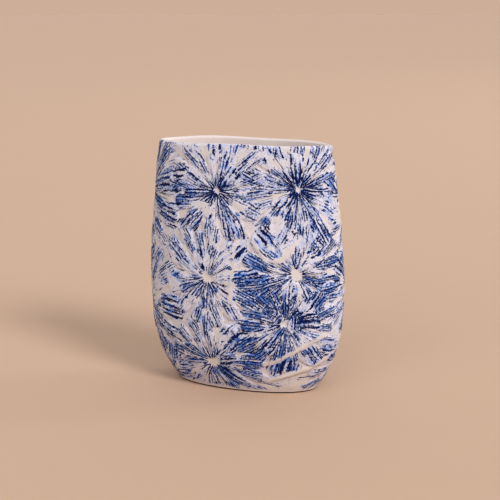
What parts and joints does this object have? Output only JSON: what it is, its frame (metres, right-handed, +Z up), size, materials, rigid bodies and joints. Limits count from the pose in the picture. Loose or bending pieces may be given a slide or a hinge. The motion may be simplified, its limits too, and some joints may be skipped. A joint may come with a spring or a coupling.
{
  "type": "pottery vase",
  "caption": "Flattened oval pottery vase with a wide open mouth, a flat base and dahlia flowers in low relief stained cobalt blue.",
  "frame": {"origin": "on the standing surface, under the middle of the vase's box", "axes": "+Z up, out of the mouth; the broad front faces -Y; the narrow ends face -X and +X"},
  "size_m": [0.164, 0.083, 0.2],
  "materials": {
    "stained_glaze": "satin cream glaze with cobalt blue stain brushed along the relief",
    "bare_clay": "matt unglazed buff clay"
  },
  "bodies": {
    "root": {"front_wall": "stained_glaze", "back_wall": "stained_glaze", "base_slab": "bare_clay"}
  },
  "joints": []
}
